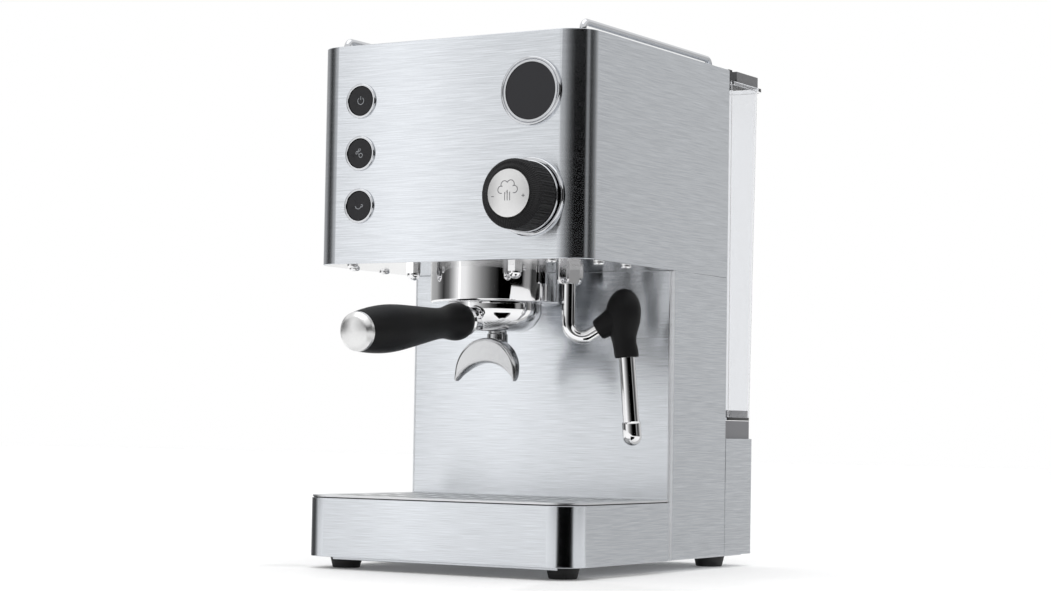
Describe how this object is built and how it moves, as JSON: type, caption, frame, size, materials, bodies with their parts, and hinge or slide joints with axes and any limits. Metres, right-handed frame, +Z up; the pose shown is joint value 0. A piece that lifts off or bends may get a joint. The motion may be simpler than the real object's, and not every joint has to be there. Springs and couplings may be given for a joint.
{
  "type": "espresso machine",
  "caption": "Home espresso machine in brushed steel with a portafilter, swivelling steam wand, steam knob, push buttons, display, drip tray and rear water tank.",
  "frame": {"origin": "centre of the machine's footprint, handle included, on the worktop", "axes": "+Z up, -Y towards the user, +X to the user's right"},
  "size_m": [0.226, 0.3912, 0.3874],
  "materials": {
    "brushed_steel": "brushed",
    "polished_steel": "polished",
    "chrome": "mirror",
    "satin_chrome": "satin",
    "black_plastic": "matte",
    "knob_black": "fine texture",
    "tray_plastic": "matte",
    "seat_grey": "satin",
    "lid_grey": "satin",
    "clear_plastic": "clear",
    "base_dark": "satin",
    "button_face": "satin",
    "display_glass": "gloss",
    "rubber": "matte",
    "brass": "machined",
    "boiler_steel": "drawn",
    "pump_plastic": "moulded",
    "hose": "translucent",
    "pipe_metal": "drawn",
    "board_green": "lacquered"
  },
  "bodies": {
    "machine": {"base_plate": "brushed_steel", "rubber_feet": "rubber", "column_shell": "brushed_steel", "head_wrap": "brushed_steel", "head_underplate": "polished_steel", "top_plate": "brushed_steel", "rear_panel": "brushed_steel", "cup_rail_left": "chrome", "cup_rail_right": "chrome", "tank_pedestal": "brushed_steel", "cord_gland": "black_plastic", "tank_seat": "seat_grey", "button_bezels": "chrome", "button_switches": "black_plastic", "display_bezel": "chrome", "display_lens": "display_glass", "display_module": "black_plastic", "knob_base_ring": "chrome", "steam_valve": "brass", "group_collar": "chrome", "group_head": "brass", "group_gasket": "rubber", "shower_screen": "polished_steel", "boiler": "boiler_steel", "heating_element": "boiler_steel", "thermostats": "black_plastic", "dome_nuts": "chrome", "underside_screws": "chrome", "wand_gland": "chrome", "pump": "pump_plastic", "pump_mounts": "rubber", "solenoid_valve": "black_plastic", "drain_pipe": "hose", "suction_hose": "hose", "delivery_pipe": "pipe_metal", "steam_pipes": "pipe_metal", "control_board": "board_green"},
    "drip_tray": {"tray_front": "brushed_steel", "tray_box": "tray_plastic"},
    "grate": {"drip_grate": "polished_steel"},
    "tank": {"water_tank": "clear_plastic", "tank_base": "base_dark", "lid_hinge": "black_plastic"},
    "lid": {"tank_lid": "lid_grey"},
    "portafilter": {"portafilter_body": "chrome", "filter_basket": "polished_steel", "handle_ferrule": "chrome", "portafilter_handle": "black_plastic", "handle_end_cap": "satin_chrome", "twin_spout": "chrome"},
    "steam_wand": {"wand_pipe": "chrome", "wand_grip": "black_plastic", "wand_tip": "chrome"},
    "steam_knob": {"knob_grip": "knob_black", "knob_cap": "satin_chrome", "knob_spindle": "brass"},
    "power_button": {"button_power": "button_face"},
    "steam_button": {"button_steam": "button_face"},
    "brew_button": {"button_brew": "button_face"}
  },
  "joints": [
    {"name": "drip_tray_slide", "type": "slide", "parent": "machine", "child": "drip_tray", "axis": [0, -1, 0], "range_m": [0, 0.13]},
    {"name": "grate_lift", "type": "slide", "parent": "drip_tray", "child": "grate", "axis": [0, 0, 1], "range_m": [0, 0.03]},
    {"name": "tank_lift", "type": "slide", "parent": "machine", "child": "tank", "axis": [0, 0, 1], "range_m": [0, 0.27]},
    {"name": "lid_hinge", "type": "hinge", "parent": "tank", "child": "lid", "pos_m": [0, 0.1462, 0.3745], "axis": [1, 0, 0], "range_deg": [0, 90]},
    {"name": "portafilter_turn", "type": "hinge", "parent": "machine", "child": "portafilter", "pos_m": [0, -0.017, 0.2], "axis": [0, 0, 1], "range_deg": [-45, 0]},
    {"name": "wand_swivel", "type": "hinge", "parent": "machine", "child": "steam_wand", "pos_m": [0.062, -0.017, 0.21], "axis": [0, 0, 1], "range_deg": [-95, 45]},
    {"name": "steam_knob_turn", "type": "hinge", "parent": "machine", "child": "steam_knob", "pos_m": [0.0715, -0.1, 0.262], "axis": [0, -1, 0], "range_deg": [0, 270]},
    {"name": "power_button_press", "type": "slide", "parent": "machine", "child": "power_button", "axis": [0, 1, 0], "range_m": [0, 0.0025], "stiffness_N_per_m": 400},
    {"name": "steam_button_press", "type": "slide", "parent": "machine", "child": "steam_button", "axis": [0, 1, 0], "range_m": [0, 0.0025], "stiffness_N_per_m": 400},
    {"name": "brew_button_press", "type": "slide", "parent": "machine", "child": "brew_button", "axis": [0, 1, 0], "range_m": [0, 0.0025], "stiffness_N_per_m": 400}
  ]
}
